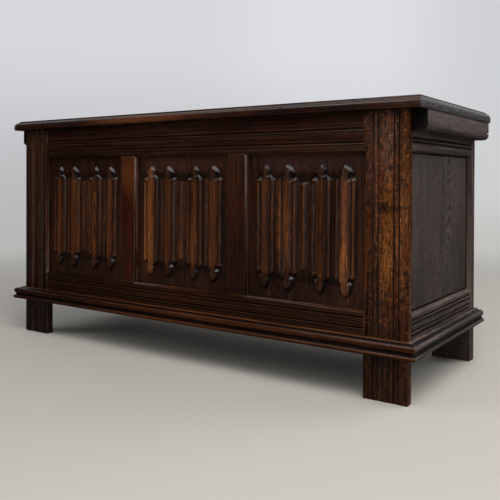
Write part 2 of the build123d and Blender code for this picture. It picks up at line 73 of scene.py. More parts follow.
class Shade:
    # wraps one socket, so that sums and products of sockets are written as formulas

    def __init__(self, tree, socket=None):
        self.tree = tree
        self.socket = socket

    def node(self, kind, settings=None, inputs=None, output=0):
        # any node: its settings first, then the values or links of its sockets
        made = self.tree.nodes.new(kind)
        for name, value in (settings or {}).items():
            if name == "stops":
                self.fillRamp(made.color_ramp, value)
            else:
                setattr(made, name, value)
        for name, value in (inputs or {}).items():
            if isinstance(value, Shade):
                self.tree.links.new(value.socket, made.inputs[name])
            else:
                made.inputs[name].default_value = value
        return Shade(self.tree, made.outputs[output]) if len(made.outputs) else made

    def fillRamp(self, ramp, stops):
        while len(ramp.elements) < len(stops):
            ramp.elements.new(1.0)
        for element, (place, colour) in zip(ramp.elements, stops):
            element.position = place
            element.color = colour

    def math(self, operation, first, second=0.0):
        return self.node("ShaderNodeMath", {"operation": operation}, {0: first, 1: second})

    def __add__(self, other):
        return self.math("ADD", self, other)

    def __radd__(self, other):
        return self.math("ADD", other, self)

    def __sub__(self, other):
        return self.math("SUBTRACT", self, other)

    def __rsub__(self, other):
        return self.math("SUBTRACT", other, self)

    def __mul__(self, other):
        return self.math("MULTIPLY", self, other)

    def __rmul__(self, other):
        return self.math("MULTIPLY", other, self)

    def __truediv__(self, other):
        return self.math("DIVIDE", self, other)

    def __pow__(self, other):
        return self.math("POWER", self, other)

    def __abs__(self):
        return self.math("ABSOLUTE", self)

    def smooth(self, low, high, first=0.0, last=1.0):
        # a soft step: first below low, last above high
        return self.node(
            "ShaderNodeMapRange", {"interpolation_type": "SMOOTHSTEP"},
            {"Value": self, "From Min": low, "From Max": high, "To Min": first, "To Max": last},
        )

    def band(self, low, high, edge):
        # one between low and high, none outside, with soft edges
        return self.smooth(low - edge, low + edge) * self.smooth(high - edge, high + edge, 1.0, 0.0)

    def noise(self, place, scale=1.0, detail=2.0, roughness=0.5, distortion=0.0):
        return self.node("ShaderNodeTexNoise", None, {
            "Vector": place, "Scale": scale, "Detail": detail, "Roughness": roughness,
            "Distortion": distortion,
        })

    def vector(self, operation, first, second):
        return self.node("ShaderNodeVectorMath", {"operation": operation}, {0: first, 1: second})

    def length(self):
        return self.node("ShaderNodeVectorMath", {"operation": "LENGTH"}, {0: self}, "Value")

    def axis(self, place, name):
        return self.node("ShaderNodeSeparateXYZ", None, {0: place}, name)

    def attribute(self, name):
        return self.node("ShaderNodeAttribute", {"attribute_name": name}, output="Fac")

    def mixColour(self, factor, first, second):
        mixed = {0: factor, 6: first, 7: second}
        return self.node("ShaderNodeMix", {"data_type": "RGBA"}, mixed, 2)


def newMaterial(name):
    # an empty material, and the place on the object that its patterns start from
    material = bpy.data.materials.new(name)
    material.use_nodes = True
    material.node_tree.nodes.clear()
    shade = Shade(material.node_tree)
    return material, shade, shade.node("ShaderNodeTexCoord", output="Object")


# Oak

grains = {  # the axes across, through and along the grain, and where the pith lies by default
    "x": (("Y", "Z", "X"), (0.05, 0.33)),
    "y": (("X", "Z", "Y"), (0.05, 0.33)),
    "z": (("X", "Y", "Z"), (0.30, 0.12)),
}

figures = {  # noise in the wood: scale across and along the grain, detail, roughness, distortion
    "wander": (1.5, 1.1, 2.0, 0.5, 0.0),
    "sway": (14, 4.5, 4.0, 0.6, 0.0),
    "dashes": (1300, 70, 1.0, 0.4, 0.0),
    "clusters": (300, 58, 2.0, 0.6, 0.0),
    "openPores": (250, 85, 2.0, 0.7, 0.0),
    "fibres": (450, 9, 2.0, 0.6, 0.0),
    "threads": (210, 4.5, 2.0, 0.65, 0.0),
    "streaks": (75, 1.6, 2.0, 0.55, 0.0),
    "clouds": (9, 2.6, 3.0, 0.5, 0.0),
    "blotches": (34, 11, 4.0, 0.6, 0.0),
    "rubbing": (30, 9, 4.0, 0.6, 0.0),
    "rays": (75, 260, 2.0, 0.5, 0.3),
}

oakDefaults = {
    "grain": "z",
    "pith": None,                # the middle of the tree, across and through from the board's own
    "tilt": (0.0, 0.04),         # lean of the pith along the board
    "wander": (0.05, 0.09),      # how far the pith strays, across and through
    "ring": 0.0032,              # width of a year's growth
    "ringDepth": 0.3,
    "sway": 0.016,               # how far the rings wave
    "dark": (15, 6, 3),
    "mid": (34, 17, 8),
    "light": (64, 35, 14),
    "red": (52, 20, 9),
    "redness": 0.35,
    "patches": 0.5,
    "streaks": 1.0,
    "flecks": 0.0,               # ray flecks on quartered boards
    "specks": 0.0,               # coarse open pores filled with old wax
    "poreDepth": 0.7,
    "poreColour": (10, 5, 3),
    "worn": (112, 64, 22),
    "wear": 0.0,                 # general rubbing through of the stain
    "edgeWear": 0.55,
    "haze": 0.0,                 # streaks of dry wax and painted sheen
    "hazeColour": (104, 88, 84),
    "marks": (),                 # soft marks: middle, half sizes, colour and strength
    "lines": (),                 # dark lines of old wax and painted shade in the quirks and along shaded edges: axis, place and half width
    "rubbedRimAndHighlight": 0.18,                # rubbed edges beside those lines, with a painted highlight in the worn colour
    "grimeAndShadeColour": (7, 3, 2),
    "endsFrom": 0.0,             # how far along the board its dry grey ends begin
    "endColours": ((36, 36, 36), (88, 88, 90)),
    "greyAndSheen": 0.0,                 # dry greyed surface, and on the sides a painted sheen
    "greyAndSheenColour": (83, 73, 69),
    "roughness": 0.25,
    "gloss": 1.35,               # the wax's index of refraction
    "coat": 0.0,
    "bump": 0.4,
}


def oak(name, seed, centre, **changes):
    # Growth rings round a distant pith, drawn out along the grain, with pores in the early wood.
    look = dict(oakDefaults, **changes)
    material, shade, place = newMaterial(name)
    rng = np.random.default_rng(seed)
    place = shade.vector("SUBTRACT", place, centre)
    parts = {axis: shade.axis(place, axis) for axis in "XYZ"}
    axes, usualPith = grains[look["grain"]]
    across, through, along = (parts[axis] for axis in axes)
    turned = shade.node("ShaderNodeCombineXYZ", None, {0: across, 1: through, 2: along})
    wood = shade.vector("ADD", turned, tuple(rng.uniform(-40, 40, 3)))

    def figure(layer):
        crossScale, longScale, detail, roughness, distortion = figures[layer]
        stretched = shade.vector("MULTIPLY", wood, (crossScale, crossScale, longScale))
        return shade.noise(stretched, 1.0, detail, roughness, distortion)

    # rings: the distance from a pith that strays along the tree, cut into years
    stray = figure("wander") - 0.5
    sway = figure("sway") - 0.5
    pith = look["pith"] or usualPith
    fromAcross = across - pith[0] + stray * look["wander"][0] + along * look["tilt"][0]
    fromThrough = through - pith[1] + stray * look["wander"][1] + along * look["tilt"][1]
    radius = (fromAcross * fromAcross + fromThrough * fromThrough) ** 0.5
    year = shade.math("FRACT", (radius + sway * look["sway"]) / look["ring"])
    earlyWood = year.smooth(0.0, 0.12) * year.smooth(0.25, 0.7, 1.0, 0.0)

    # pores: short dark dashes, thick in the early wood, and coarser flecks where they run together
    dashes = figure("dashes").smooth(0.53, 0.64) * (earlyWood * 0.7 + 0.2)
    clusters = figure("clusters").smooth(0.54, 0.66) * (earlyWood * 0.45 + 0.55)
    pores = shade.math("MAXIMUM", dashes, clusters)
    if look["specks"]:
        openPores = figure("openPores").smooth(0.52, 0.62) * look["specks"]
        pores = shade.math("MAXIMUM", pores, openPores)

    # tone: fibres, threads, streaks and clouds round a middle tone, darker in the early wood
    fibres, threads, streaks, clouds = map(figure, ("fibres", "threads", "streaks", "clouds"))
    streaked = ((streaks - 0.5) * 0.35 + (threads - 0.5) * 1.4) * look["streaks"]
    tone = 0.60 + streaked + (fibres - 0.5) * 1.2
    tone = tone + (clouds - 0.5) * (2.2 * look["patches"]) - earlyWood * look["ringDepth"]
    colour = shade.node("ShaderNodeValToRGB", {"stops": [
        (0.0, linear(*look["dark"])), (0.5, linear(*look["mid"])), (1.0, linear(*look["light"])),
    ]}, {0: tone})
    reddened = figure("blotches").smooth(0.48, 0.68) * look["redness"]
    colour = shade.mixColour(reddened, colour, linear(*look["red"]))

    # wear: rubbed patches, and the edges that the piece marks itself
    edge = shade.attribute("wear")
    rubbing = figure("rubbing")
    bare = rubbing.smooth(0.62 - 0.35 * look["wear"], 0.85 - 0.25 * look["wear"]) * look["wear"]
    rubbedEdge = edge * (rubbing.smooth(0.25, 0.55) * look["edgeWear"])
    worn = shade.math("MINIMUM", bare + rubbedEdge, 1.0)
    wornTone = shade.mixColour(
        tone.smooth(0.0, 1.0), toned(look["worn"], 0.55), toned(look["worn"], 1.1),
    )
    colour = shade.mixColour(worn, colour, wornTone)

    if look["flecks"]:
        fleck = figure("rays").smooth(0.56, 0.66) * look["flecks"]
        colour = shade.mixColour(fleck, colour, toned(look["light"], 1.25))
    # painted sheen: pale mauve-grey streaks over the wood, with dry wax
    if look["haze"]:
        hazeAndSheenShare = (streaks * 0.5 + threads * 0.5).smooth(0.47, 0.62) * look["haze"]
        colour = shade.mixColour(hazeAndSheenShare, colour, linear(*look["hazeColour"]))
    for mark in look["marks"]:
        colour = softMark(shade, place, mark, colour)

    # grime and painted shade: where the piece marks it, and along each line, which has a rubbed rim
    # with a painted highlight on both sides
    grime = shade.attribute("grime")
    for axis, spot, half in look["lines"]:
        off = abs(parts[axis] - spot)
        grime = shade.math("MAXIMUM", grime, off.smooth(half * 0.5, half * 1.4, 0.95, 0.0))
        rimStart = off.smooth(half * 1.3, half * 1.8)
        rim = rimStart * off.smooth(half * 2.2, half * 3.0, look["rubbedRimAndHighlight"], 0.0)
        colour = shade.mixColour(rim, colour, wornTone)
    if look["endsFrom"]:
        end = abs(along).smooth(look["endsFrom"], look["endsFrom"] + 0.004, 0.0, 0.85)
        endDark, endLight = (linear(*tint) for tint in look["endColours"])
        endGrain = shade.mixColour(threads.smooth(0.3, 0.7), endDark, endLight)
        colour = shade.mixColour(end, colour, endGrain)
    # dry greying, which on the sides is also a painted sheen, the grazing reflection of the room
    if look["greyAndSheen"]:
        greyAndSheenShare = tone.smooth(-0.1, 1.1, 0.7 * look["greyAndSheen"], look["greyAndSheen"])
        greyAndSheenTone = shade.mixColour(
            tone.smooth(0.0, 1.1), toned(look["greyAndSheenColour"], 0.66), toned(look["greyAndSheenColour"], 1.14),
        )
        colour = shade.mixColour(greyAndSheenShare, colour, greyAndSheenTone)
    colour = shade.mixColour(pores * look["poreDepth"], colour, linear(*look["poreColour"]))
    colour = shade.mixColour(grime, colour, linear(*look["grimeAndShadeColour"]))

    shine = look["roughness"] + pores * 0.2 + (clouds - 0.5) * 0.15
    shine = shine + worn * 0.08 + edge * 0.1 + grime * 0.08
    relief = (1 - pores) * 0.6 + fibres * 0.3 + threads * 0.3 + year * 0.1
    surface = shade.node("ShaderNodeBump", None, {
        "Strength": look["bump"], "Distance": 0.0005, "Height": relief,
    })
    shader = shade.node("ShaderNodeBsdfPrincipled", None, {
        "Base Color": colour, "Roughness": shine, "Normal": surface, "IOR": look["gloss"],
        "Coat Weight": look["coat"], "Coat Roughness": 0.2,
    })
    shade.node("ShaderNodeOutputMaterial", None, {"Surface": shader})
    return material


def softMark(shade, place, mark, colour):
    # a soft mark in the colour: the distance from its middle in half sizes, its rim broken by noise
    middle, size, tint, strength = mark
    reach = shade.vector("DIVIDE", shade.vector("SUBTRACT", place, middle), size).length()
    rough = shade.noise(shade.vector("MULTIPLY", place, (170, 170, 60)), 1.0, 4.0, 0.7)
    inside = (reach + (rough - 0.5) * 1.9).smooth(0.3, 1.15, 1.0, 0.0) * strength
    return shade.mixColour(inside, colour, linear(*tint))


# Worked pieces: a node's own solid with its arrises taken off

workSettings = {
    "arris": 0.0009,        # width of the rubbed edge
    "segments": 2,
    "sharpFrom": 28,        # degrees between faces that make an edge
    "shortest": 0.025,      # edges shorter than this stay as they are
    "mergeWithin": 1e-6,
    "flatWithin": 0.5,      # degrees between faces that are joined into one
    "shadedSharp": 50,      # degrees between faces that the shading keeps apart
}


def workedPiece(node, body, material, arris):
    # A copy of the node's solid: doubles merged, flat faces joined, long outer edges eased and
    # marked as worn.
    w = workSettings
    mesh = nodes[node].data.copy()
    mesh.name = node + ".worked"
    shape = bmesh.new()
    shape.from_mesh(mesh)
    bmesh.ops.remove_doubles(shape, verts=shape.verts, dist=w["mergeWithin"])
    bmesh.ops.dissolve_limit(
        shape, angle_limit=math.radians(w["flatWithin"]), verts=shape.verts, edges=shape.edges,
    )
    sharp = [
        edge for edge in shape.edges
        if len(edge.link_faces) == 2 and edge.is_convex and edge.calc_length() > w["shortest"]
        and edge.calc_face_angle(0) > math.radians(w["sharpFrom"])
    ]
    wear = shape.faces.layers.float.new("wear")
    eased = bmesh.ops.bevel(
        shape, geom=sharp, offset=arris, offset_type="OFFSET", segments=w["segments"],
        profile=0.5, affect="EDGES", clamp_overlap=False,
    )
    for face in eased["faces"]:
        face[wear] = 1.0
    for face in shape.faces:
        face.smooth = True
    shape.to_mesh(mesh)
    shape.free()
    mesh.set_sharp_from_angle(angle=math.radians(w["shadedSharp"]))
    mesh.materials.clear()
    mesh.materials.append(material)
    piece = bpy.data.objects.new(node + ".worked", mesh)
    scene.collection.objects.link(piece)
    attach(piece, body)
    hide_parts(node)


def middleOf(node):
    low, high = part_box(node)
    return tuple((low + high) / 2)


def linesAt(axis, places, half=0.0016):
    # dark lines across one axis, placed in millimetres from the middle of the board
    return [(axis, place / 1000, half) for place in places]


# Finish of each board: grain, tone and wear by where it stands on the chest, with painted shade
# and highlights on some
postLines = linesAt("X", (18.7, 30.8, -28.5, -16.5))
leftPostLines = linesAt("X", (-18.7, -30.8, 28.5, 16.5))
topRailLines = linesAt("Z", (-1, 8.1, -30.6, -21.4))
bottomRailPlaces = (-2.6, 6.6, 20.4, 29.6)
sideTopLines = linesAt("Z", (-23.6, -14.4), 0.0028)
sideBottomLines = linesAt("Z", bottomRailPlaces, 0.0025)
baseLines = linesAt("Z", (-6.5, -3.0), 0.0022) + linesAt("Z", (14.0,))
darkMark, orangeMark, paintedHighlight = (16, 8, 5), (126, 74, 26), (88, 68, 56)
# on the sides the grey is a painted sheen, the grazing reflection of the room, over dry greying
sideLook = dict(slot="oak_side", greyAndSheen=0.75, roughness=0.5)
sideRailLook = dict(sideLook, grain="y")
sidePanelLook = dict(
    sideLook, pith=(-0.05, 0.055), tilt=(0.16, 0.0), greyAndSheen=0.9, greyAndSheenColour=(74, 66, 62), ring=0.0042,
    ringDepth=0.5, streaks=0.5, sway=0.034, patches=0.3,
    # the lines round the panel's edges are a painted shadow where it meets its frame
    lines=linesAt("Y", (-201.5, 201.5), 0.003) + linesAt("Z", (-169.5, 169.5), 0.0025),
)
# the line at the cleat's front end is painted shade
cleatLook = dict(sideLook, slot="oak_cleat", grain="y", lines=linesAt("Y", (-227,), 0.0035))
backLook = dict(slot="oak_back", greyAndSheen=0.4, roughness=0.6)
insideLook = dict(slot="oak_inside", roughness=0.7)
lidLook = dict(
    slot="oak_lid", grain="x", centre=(0.0, 0.0, 0.634), mid=(38, 18, 11), light=(70, 38, 22),
    haze=0.12, hazeColour=(84, 68, 64), wear=0.2, endsFrom=0.6515, edgeWear=0.4, roughness=0.26,
    streaks=0.5, patches=0.3, lines=linesAt("Z", (11.0,), 0.0014),
    # the second mark is painted shade: the left of the lid darker, as the light falls off to the
    # left
    marks=[((-0.14, -0.25, -0.003), (0.24, 0.04, 0.013), (104, 56, 22), 0.5),
           ((-0.55, -0.25, -0.004), (0.35, 0.04, 0.03), (20, 9, 6), 0.5),
           ((0.45, -0.25, -0.004), (0.25, 0.04, 0.03), (22, 11, 8), 0.5)],
)
finishes = {
    "front_left_post": dict(
        # the pale worn colour on the wide arrises is rubbed wear and partly a painted highlight
        slot="oak_post", seed=11, mid=(35, 18, 9), worn=(96, 74, 58), edgeWear=0.6, arris=0.0016,
        lines=leftPostLines,
        # the first two marks are pale painted highlights down the post's beads
        marks=[((-0.0158, -0.011, 0.0), (0.0024, 0.05, 0.45), paintedHighlight, 0.45),
               ((0.0256, -0.011, 0.0), (0.0024, 0.05, 0.45), paintedHighlight, 0.45),
               ((-0.050, -0.011, 0.0), (0.014, 0.05, 0.5), (16, 9, 6), 0.6),
               ((0.0, -0.011, -0.27), (0.09, 0.05, 0.13), (44, 32, 29), 0.6)],
    ),
    "front_right_post": dict(
        slot="oak_post", seed=12, pith=(-0.16, 0.05), dark=(18, 8, 4), mid=(64, 33, 13),
        light=(130, 75, 27), red=(84, 30, 12), redness=0.75, flecks=0.3, specks=0.85,
        poreDepth=0.92, wear=0.3, worn=(126, 70, 22), haze=0.2, hazeColour=(96, 78, 66),
        lines=postLines,
        marks=[((0.002, -0.012, 0.100), (0.036, 0.03, 0.013), darkMark, 0.75),
               ((-0.036, -0.012, 0.110), (0.02, 0.03, 0.007), darkMark, 0.5),
               ((0.006, -0.012, 0.14), (0.014, 0.03, 0.04), orangeMark, 0.5),
               ((0.040, -0.012, 0.12), (0.014, 0.03, 0.22), orangeMark, 0.15),
               ((0.004, -0.012, 0.02), (0.018, 0.03, 0.09), orangeMark, 0.6),
               ((-0.036, -0.012, 0.05), (0.020, 0.03, 0.35), (40, 20, 10), 0.3),
               # the next two pale mauve marks near the top are a painted sheen
               ((0.006, -0.012, 0.235), (0.02, 0.03, 0.10), (112, 84, 70), 0.35),
               ((-0.038, -0.012, 0.225), (0.02, 0.03, 0.12), (92, 66, 54), 0.25),
               ((0.0, -0.012, -0.27), (0.09, 0.05, 0.20), (29, 18, 15), 0.7)],
    ),
    "back_left_post": dict(sideLook, seed=13),
    "back_right_post": dict(sideLook, seed=14, greyAndSheen=0.6),
    "front_top_rail": dict(
        slot="oak_front", seed=15, grain="x", mid=(33, 15, 8), ringDepth=0.2, streaks=0.6,
        patches=0.3, haze=0.05, lines=topRailLines,
        # painted shade: the left of the rail darker, as the light falls off to the left
        marks=[((-0.42, -0.01, 0.0), (0.40, 0.06, 0.12), (18, 4, 1), 0.6)],
    ),
    "front_bottom_rail": dict(
        slot="oak_front", seed=16, grain="x", mid=(28, 12, 6), light=(54, 27, 12), ringDepth=0.2,
        streaks=0.6, patches=0.3, roughness=0.28, gloss=1.27, lines=linesAt("Z", bottomRailPlaces),
        # painted shade: the left of the rail darker, as the light falls off to the left
        marks=[((-0.42, -0.01, 0.0), (0.34, 0.06, 0.12), (18, 7, 4), 0.5)],
    ),
    "front_left_muntin": dict(
        slot="oak_front", seed=17, mid=(43, 15, 4), light=(72, 31, 7), red=(56, 19, 6), wear=0.2,
        # the pale worn colour on the wide arrises is rubbed wear and partly a painted highlight
        streaks=0.7, worn=(100, 78, 62), edgeWear=0.55, arris=0.0016,
        marks=[((0.0, -0.01, 0.12), (0.03, 0.05, 0.06), (98, 50, 14), 0.35)],
    ),
    "front_right_muntin": dict(
        # the pale worn colour on the arrises is rubbed wear and partly a painted highlight
        slot="oak_front", seed=18, mid=(36, 15, 8), streaks=0.7, worn=(84, 66, 56), edgeWear=0.45,
        arris=0.0014,
    ),
    "left_top_rail": dict(sideRailLook, seed=19, lines=sideTopLines),
    "right_top_rail": dict(sideRailLook, seed=20, lines=sideTopLines),
    "left_bottom_rail": dict(sideRailLook, seed=21, lines=sideBottomLines),
    "right_bottom_rail": dict(sideRailLook, seed=22, lines=sideBottomLines),
    "left_side_panel": dict(sidePanelLook, seed=23),
    "right_side_panel": dict(sidePanelLook, seed=24),
    "back_top_rail": dict(backLook, seed=25, grain="x"),
    "back_bottom_rail": dict(backLook, seed=26, grain="x"),
    "back_left_muntin": dict(backLook, seed=27),
    "back_right_muntin": dict(backLook, seed=28),
    "back_panel_left": dict(backLook, seed=29, pith=(0.05, 0.06)),
    "back_panel_centre": dict(backLook, seed=30, pith=(-0.04, 0.05)),
    "back_panel_right": dict(backLook, seed=31, pith=(0.02, 0.07)),
    "front_base_moulding": dict(
        slot="oak_moulding", seed=32, grain="x", mid=(56, 26, 10), light=(98, 50, 18), wear=0.3,
        edgeWear=0.7, streaks=0.6, patches=0.35, specks=0.5, lines=baseLines,
        # painted shade: the left of the moulding darker, as the light falls off to the left
        marks=[((-0.50, -0.01, 0.0), (0.34, 0.06, 0.12), (18, 7, 4), 0.6)],
    ),
    "left_base_moulding": dict(sideRailLook, slot="oak_moulding", seed=33, lines=baseLines),
    "right_base_moulding": dict(sideRailLook, slot="oak_moulding", seed=34, lines=baseLines),
    "front_ledger": dict(insideLook, seed=35, grain="x"),
    "back_ledger": dict(insideLook, seed=36, grain="x"),
    "lid_front_board": dict(lidLook, seed=37),
    "lid_middle_board": dict(lidLook, seed=38, pith=(-0.06, 0.20)),
    "lid_back_board": dict(lidLook, seed=39, pith=(0.35, 0.16)),
    "left_cleat": dict(cleatLook, seed=40),
    "right_cleat": dict(
        cleatLook, seed=41, greyAndSheenColour=(93, 83, 81), streaks=0.4, sway=0.004, ringDepth=0.2,
    ),
}
for number in range(1, 7):
    finishes[f"floor_board_{number}"] = dict(insideLook, seed=50 + number, grain="y")

bodies = frame["record"]["behaviour"]["bodies"]
bodyOf = {node: body for body, members in bodies.items() for node in members}
for node, finish in finishes.items():
    look = dict(finish)
    slot = look.pop("slot")
    centre = look.pop("centre", middleOf(node))
    arris = look.pop("arris", workSettings["arris"])
    material = oak("oak." + node, look.pop("seed"), centre, **look)
    workedPiece(node, bodyOf[node], material, arris)
print("boards finished:", len(finishes))


# Iron

ironSettings = {
    "metal": (46, 42, 40),
    "rust": (74, 44, 28),
    "scale": 900,
    "roughness": 0.45,
}


def iron(name):
    # wrought iron gone brown-black, with a little dull polish
    i = ironSettings
    material, shade, place = newMaterial(name)
    scale = shade.noise(place, i["scale"], 4.0, 0.6)
    rust = scale.smooth(0.5, 0.7)
    colour = shade.mixColour(rust, linear(*i["metal"]), linear(*i["rust"]))
    surface = shade.node("ShaderNodeBump", None, {
        "Strength": 0.5, "Distance": 0.0004, "Height": scale,
    })
    shader = shade.node("ShaderNodeBsdfPrincipled", None, {
        "Base Color": colour, "Metallic": 1 - rust * 0.7, "Roughness": i["roughness"] + rust * 0.3,
        "Normal": surface,
    })
    shade.node("ShaderNodeOutputMaterial", None, {"Surface": shader})
    return material


ironMaterial = iron("wrought.iron")
for node in ("floor_nails", "cleat_nails", "left_hinge_pin", "right_hinge_pin"):
    nodes[node].data.materials.clear()
    nodes[node].data.materials.append(ironMaterial)
print("iron finished")


# Linenfold panels

panelSettings = {
    "groundY": -0.210,
    "backY": -0.200,
    "tongueDepth": 0.006,
    "tongueLength": 0.007,
    "fieldGap": 0.0005,
    "middleZ": 0.361,
    "openingHalf": (0.154, 0.171),
    "columns": 360,
    "closeRowsFrom": 0.086,         # up and down from the middle, where the folds begin to end
    "rowStep": 0.0009,
    "longStep": 0.008,
    "longMarks": (150, 60, 0.00016),        # tool marks: scales across and up, and depth
    "broadMarks": (45, 25, 0.00022),
    "tipMarks": (330, 330, 0.00013),        # the same, on the tips alone
    "tipsFrom": (0.11, 0.12),
    "plainRim": 0.004,              # where the tool marks fade out towards the panel's edge
    "shadedSharp": 55,              # degrees between faces that the shading keeps apart
}

# The carving is set out in millimetres from the panel's middle. A bead or strip is given by its
# half width, crown and edge height.
foldSettings = {
    "middles": (44.5, 105.5),
    "centreBead": (6.2, 6.4, 1.4),
    "centreHollow": (0.6, 2.6),     # its bottom and edge height
    "centreHollowAt": 13,
    "hollowHalf": 8,
    "strip": (14.2, 9.0, 4.6),
    "bead": (5.0, 6.8, 2.0),
    "beadAway": 20.0,
    "channel": (60, 90, 0.8),       # from, to and height
    "fieldEnd": 132.5,
    "fieldFall": 1.6,
    "looseness": 1.2,               # how far each fold's end strays from its drawn length
    "looserTips": 1.3,              # and how many times as far its tip does
    "lateWidth": 18,                # how wide of the fold's middle that stray is felt
    "drift": (9, 0.5),              # waver of the folds: scale up the panel, and width
}

endSettings = {
    "scoopRadius": 17.5,
    "scoopFrom": 112,
    "scoopFall": 1.5,
    "scoopEnd": 122,
    "scoopEndFall": 1.6,
    "nearEnd": 105,                 # where the beads end beside the middle
    "nearRise": (11, 10, 9),        # a rise towards the fold: how far before it, width and height
    "farEnd": 116,                  # and beside the panel's edge
    "farDrop": (8, 20, 14),         # a drop away from a place past the fold: the same three
    "footShorter": 5,
    "topFall": 0.8,
    "footFall": 1.6,
}

tipSettings = {
    "end": 149.0,
    "height": 8.6,
    "roundness": 0.014,
    "tipFrom": 112,
    "tipFall": 0.01,
    "longAim": (0.65, 0.76),        # the ear's long slope: its direction, start and fall
    "longRun": 16.5,
    "longFall": 0.058,
    "shortAim": 0.707,              # the short slope
    "shortRun": 11.5,
    "shortFall": 0.10,
    "capRun": 10.5,
    "capFall": 0.12,
    "earShift": 4.0,
    "earWithin": (4, 16),
    "tongueHalf": (21.0, 12.5),     # half widths under the ear and on the other side
    "tongueFrom": 118,
    "tongueRoot": 117,
    "tongueStart": 0.65,
    "tongueFall": 70,
    "neck": 10.8,
    "topSwell": (133, 8, 3.4),      # swellings of the neck: middle, width and height
    "footSwell": (129, 6, 2.6),
    "rootSwell": (106, 8, 6),
    "neckFall": 1.3,
    "notchHalf": 10.0,
    "notchSide": 2.2,
    "topNotch": (124.0, 2.4),       # where it starts and how it falls
    "rightNotch": (112, 0.77, 9, 0.48),     # at the foot, facing right: the same, then across
    "leftNotch": (113, 0.66),
    "knobAcross": 18.0,
    "knobAlong": (107.0, 103.5),    # at the top and at the foot
    "knobHeight": 7.3,
    "knobFall": 0.085,
    "fingerFrom": 90,
}

grimeAndShadeSettings = {
    "crestWear": 0.20,
    "ridgeWear": 0.25,
    "hollow": 0.85,
    "flankShade": (0.4, 0.1),           # painted shade on flanks that face right, and on those that face left
    "ground": 0.45,
    "tips": 0.55,
    "scoops": 0.26,
    "most": 0.9,
    "tipsFrom": (0.102, 0.118),     # metres up or down from the panel's middle
    "scoopsFrom": (0.103, 0.110),
    "scoopsTo": (0.122, 0.132),
    "fieldEdge": (0.096, 0.122),    # and across from it
    "ragged": (220, 22, 3.5),       # rims of the rubbed places: scales across and up, and depth
    "rubbedRim": (3, 18),           # and how soft they are, across and up, in millimetres
}


def softMin(first, second, blend):
    # the lower of two heights, rounded where they meet
    share = np.clip(0.5 + 0.5 * (second - first) / blend, 0, 1)
    return second * (1 - share) + first * share - blend * share * (1 - share)


def softMax(first, second, blend):
    return -softMin(-first, -second, blend)


def arc(away, half, height, edge):
    # an arc over one bead or strip, from its edge height to its crown; far below it elsewhere
    return edge + (height - edge) * np.clip(1 - (away / half) ** 2, -4, 1)


def hump(place, middle, width, height=1):
    return height * np.exp(-((place - middle) / width) ** 2)


def smoothMask(values, low, high):
    # none below low, one above high, and an eased rise between them
    share = np.clip((values - low) / (high - low), 0, 1)
    return share * share * (3 - 2 * share)


def valueNoise(first, second, seed):
    # smooth random hills between -1 and 1: random values on whole numbers, eased between them
    table = np.random.default_rng(seed).uniform(-1, 1, (64, 64))
    a, b = np.floor(first).astype(int), np.floor(second).astype(int)
    fa, fb = first - a, second - b
    fa, fb = fa * fa * (3 - 2 * fa), fb * fb * (3 - 2 * fb)
    low = table[a % 64, b % 64] * (1 - fa) + table[(a + 1) % 64, b % 64] * fa
    high = table[a % 64, (b + 1) % 64] * (1 - fa) + table[(a + 1) % 64, (b + 1) % 64] * fa
    return low * (1 - fb) + high * fb


def foldSection(side):
    # across one half: a centre bead in a hollow, then folds, each a crowned strip between two beads
    f = foldSettings
    fromHollow = side - f["centreHollowAt"]
    inHollow = np.abs(fromHollow) < f["hollowHalf"]
    hollow = np.where(inHollow, arc(fromHollow, f["hollowHalf"], *f["centreHollow"]), 0)
    section = np.maximum(arc(side, *f["centreBead"]), hollow)
    for middle in f["middles"]:
        section = np.maximum(section, arc(side - middle, *f["strip"]))
        for bead in (middle - f["beadAway"], middle + f["beadAway"]):
            section = np.maximum(section, arc(side - bead, *f["bead"]))
    channelFrom, channelTo, channelHeight = f["channel"]
    inChannel = (side > channelFrom) & (side < channelTo)
    section = np.maximum(section, np.where(inChannel, channelHeight, 0.0))
    return softMin(section, np.maximum((f["fieldEnd"] - side) * f["fieldFall"], 0), 0.8)


def bodyEnd(side, along, top):
    # The folds' own end: round scoops between the strips of a pair, and on the far side of each
    # strip the beads end in a rounded slope, long at the top of the panel and short at its foot.
    e = endSettings
    inner, outer = foldSettings["middles"]
    fromPair = side - (inner + outer) / 2
    scoopMiddle = e["scoopFrom"] + e["scoopRadius"]
    reach = np.where(
        along > scoopMiddle, np.abs(fromPair), np.hypot(fromPair, along - scoopMiddle),
    )
    scoop = (reach - e["scoopRadius"]) * e["scoopFall"]
    riseBefore, riseWidth, riseHeight = e["nearRise"]
    dropPast, dropWidth, dropDepth = e["farDrop"]
    near = e["nearEnd"] + hump(side, inner - riseBefore, riseWidth, riseHeight)
    far = e["farEnd"] - dropDepth * ((side - outer - dropPast) / dropWidth) ** 2
    stop = np.where(side < inner, near, far) - np.where(top, 0, e["footShorter"])
    sloped = (stop - along) * np.where(top, e["topFall"], e["footFall"])
    scooped = np.minimum(scoop, (e["scoopEnd"] - along) * e["scoopEndFall"])
    return np.where((side < inner) | (side > outer), sloped, scooped)


